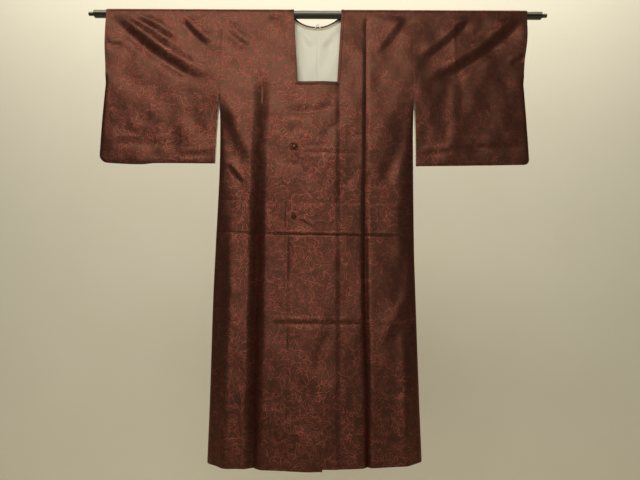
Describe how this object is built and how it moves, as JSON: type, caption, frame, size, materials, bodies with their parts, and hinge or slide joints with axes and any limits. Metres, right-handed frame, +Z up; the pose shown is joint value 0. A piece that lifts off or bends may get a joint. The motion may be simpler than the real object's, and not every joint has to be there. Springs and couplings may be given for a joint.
{
  "type": "kimono coat on a hanging rod",
  "caption": "Full-length silk kimono coat with a small square neck and lapped front, spread flat on a black lacquered rod that runs through both sleeves.",
  "frame": {"origin": "on the rod's axis, at the middle of the coat, where the rod carries its shoulder line", "axes": "+X along the rod to the wearer's left, +Y from the coat's front to its back, +Z up"},
  "size_m": [1.437, 0.1017, 1.3646],
  "materials": {
    "coat_silk": "dark brown satin silk with a fine red leaf-outline jacquard",
    "band_silk": "the coat silk, doubled",
    "lining_silk": "smooth ivory lining silk",
    "facing_silk": "greyish beige lining silk",
    "knot_cord": "dark brown bias cord",
    "rod_lacquer": "black lacquer over wood"
  },
  "bodies": {
    "root": {"hanging_rod": "rod_lacquer", "body_left_front": "coat_silk", "body_left_back": "coat_silk", "body_right_front": "coat_silk", "body_right_back": "coat_silk", "sleeve_left": "coat_silk", "sleeve_right": "coat_silk", "front_overlap_under": "coat_silk", "front_overlap_upper": "coat_silk", "neckband_left": "band_silk", "neckband_right": "band_silk", "neckband_front": "band_silk", "collar_facing": "facing_silk", "back_lining_left": "lining_silk", "back_lining_right": "lining_silk", "hanging_loop": "facing_silk", "button_upper": "knot_cord", "button_lower": "knot_cord", "button_knot": "knot_cord"}
  },
  "joints": []
}
